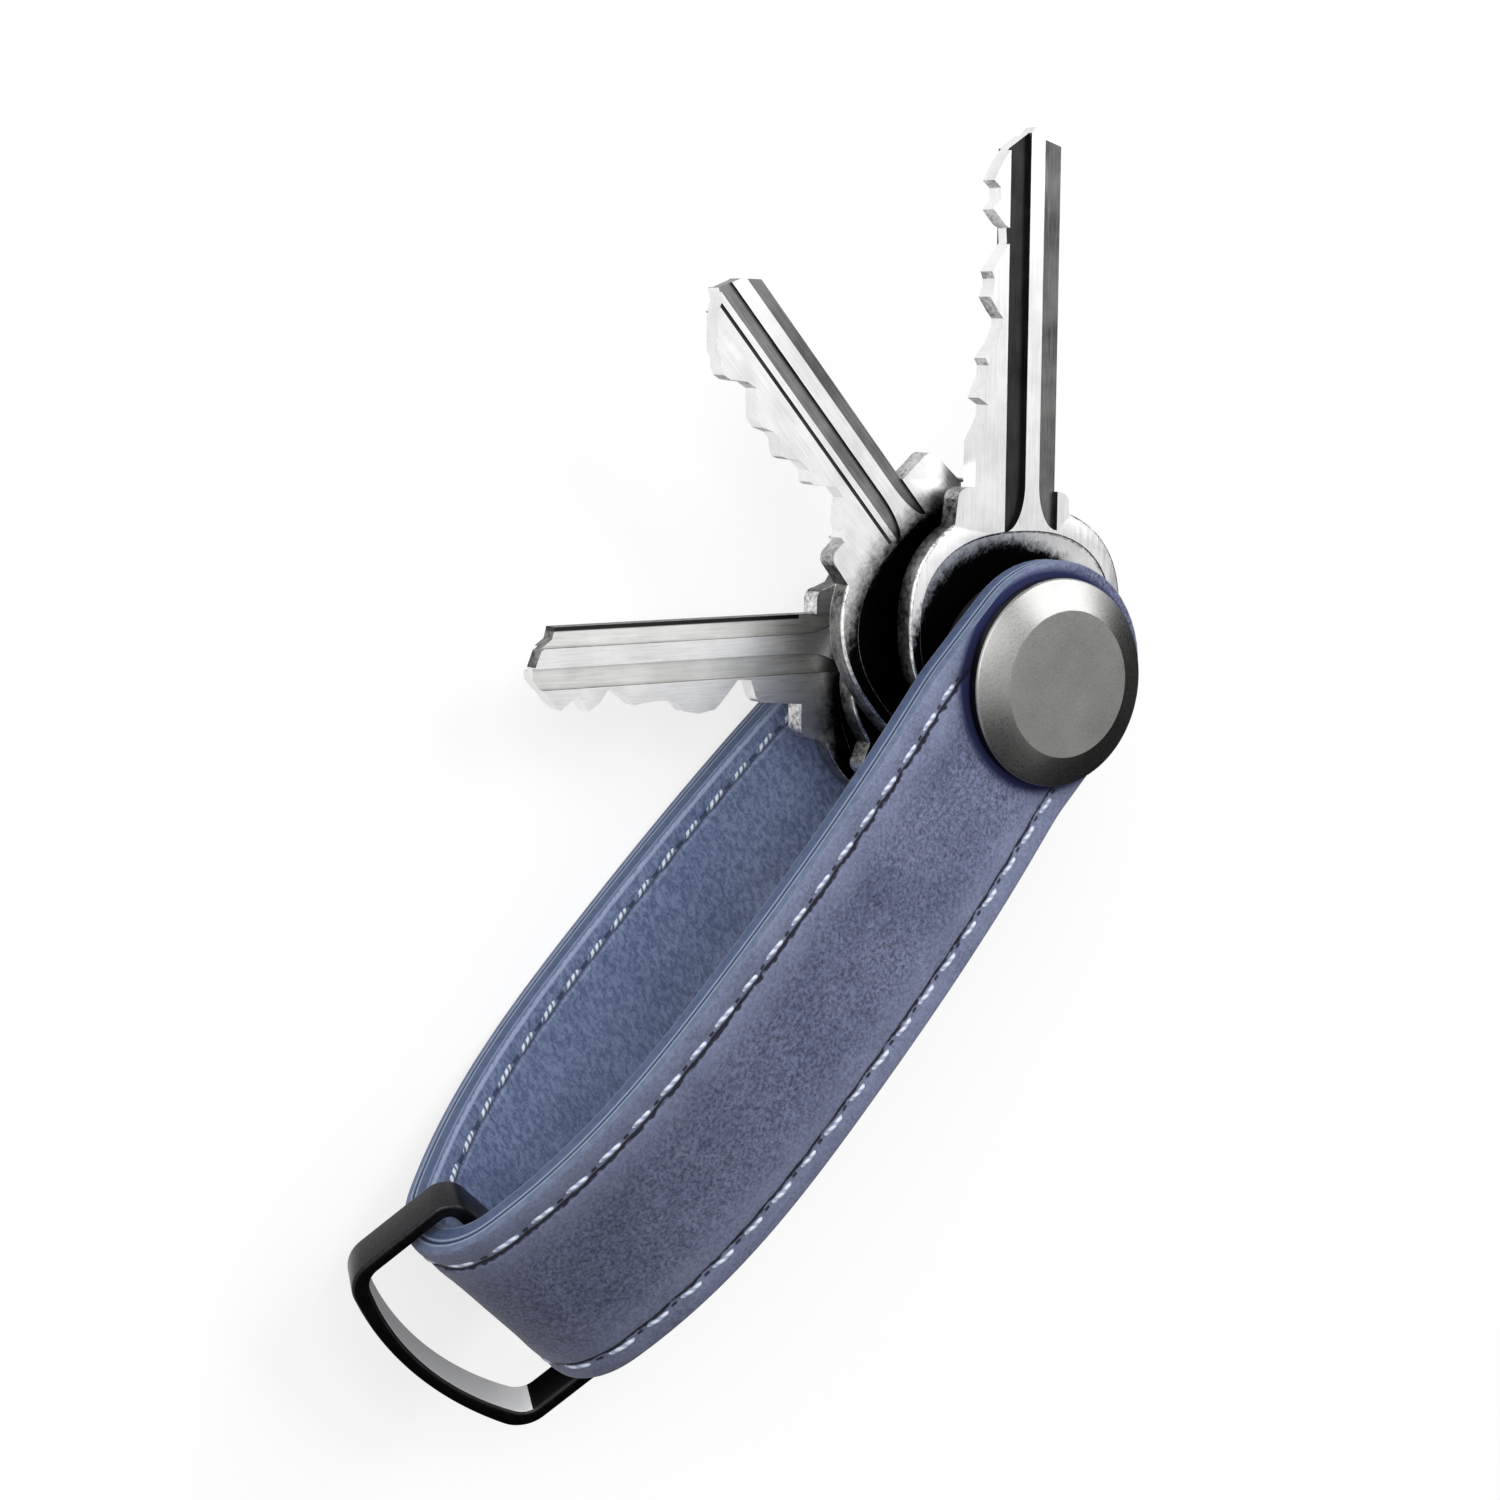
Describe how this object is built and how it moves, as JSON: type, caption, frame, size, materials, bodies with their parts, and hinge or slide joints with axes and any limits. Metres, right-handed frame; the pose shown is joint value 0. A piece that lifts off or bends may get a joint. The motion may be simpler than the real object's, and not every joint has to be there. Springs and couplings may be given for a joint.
{
  "type": "key organizer",
  "caption": "Folded leather strap clamped by a coin screw on a fan of flat keys that swing out like penknife blades, with a D-ring in the fold.",
  "frame": {"origin": "on the coin screw's axis, level with the rear cap's flat outer face, on which the part lies", "axes": "+Z along the screw's axis, from the rear cap to the front cap; +X along the strap from the ring to the screw; the keys fan out towards +Y"},
  "size_m": [0.1202, 0.0593, 0.027],
  "materials": {
    "outer_leather": "matt nubuck, slate blue",
    "lining_leather": "smooth fine-grained, blue-grey",
    "thread": "bonded thread, pale blue",
    "gunmetal": "bead-blasted gunmetal",
    "ring_gunmetal": "brushed gunmetal",
    "key_plate": "bright nickel plate",
    "washer": "dark nylon"
  },
  "bodies": {
    "strap": {"leather_outer": "outer_leather", "leather_lining": "lining_leather", "needle_thread_near": "thread", "needle_thread_far": "thread", "bobbin_thread_near": "thread", "bobbin_thread_far": "thread", "cap_front": "gunmetal", "washer_front": "washer", "washer_rear": "washer", "spacer_1": "washer", "spacer_2": "washer", "spacer_3": "washer"},
    "front_key": {"key_front": "key_plate"},
    "middle_key": {"key_middle": "key_plate"},
    "folded_key": {"key_folded": "key_plate"},
    "rear_key": {"key_rear": "key_plate"},
    "screw": {"cap_rear_screw": "gunmetal"},
    "ring": {"d_ring": "ring_gunmetal"}
  },
  "joints": [
    {"name": "front_key_swing", "type": "hinge", "parent": "strap", "child": "front_key", "pos_m": [0, 0, 0.0135], "axis": [0, 0, 1], "continuous": true},
    {"name": "middle_key_swing", "type": "hinge", "parent": "strap", "child": "middle_key", "pos_m": [0, 0, 0.0135], "axis": [0, 0, 1], "continuous": true},
    {"name": "folded_key_swing", "type": "hinge", "parent": "strap", "child": "folded_key", "pos_m": [0, 0, 0.0135], "axis": [0, 0, 1], "continuous": true},
    {"name": "rear_key_swing", "type": "hinge", "parent": "strap", "child": "rear_key", "pos_m": [0, 0, 0.0135], "axis": [0, 0, 1], "continuous": true},
    {"name": "screw_turn", "type": "hinge", "parent": "strap", "child": "screw", "pos_m": [0, 0, 0], "axis": [0, 0, 1], "continuous": true},
    {"name": "ring_swing", "type": "hinge", "parent": "strap", "child": "ring", "pos_m": [-0.06933, 0, 0.0144], "axis": [0, 1, 0], "range_deg": [-62, 131]}
  ]
}
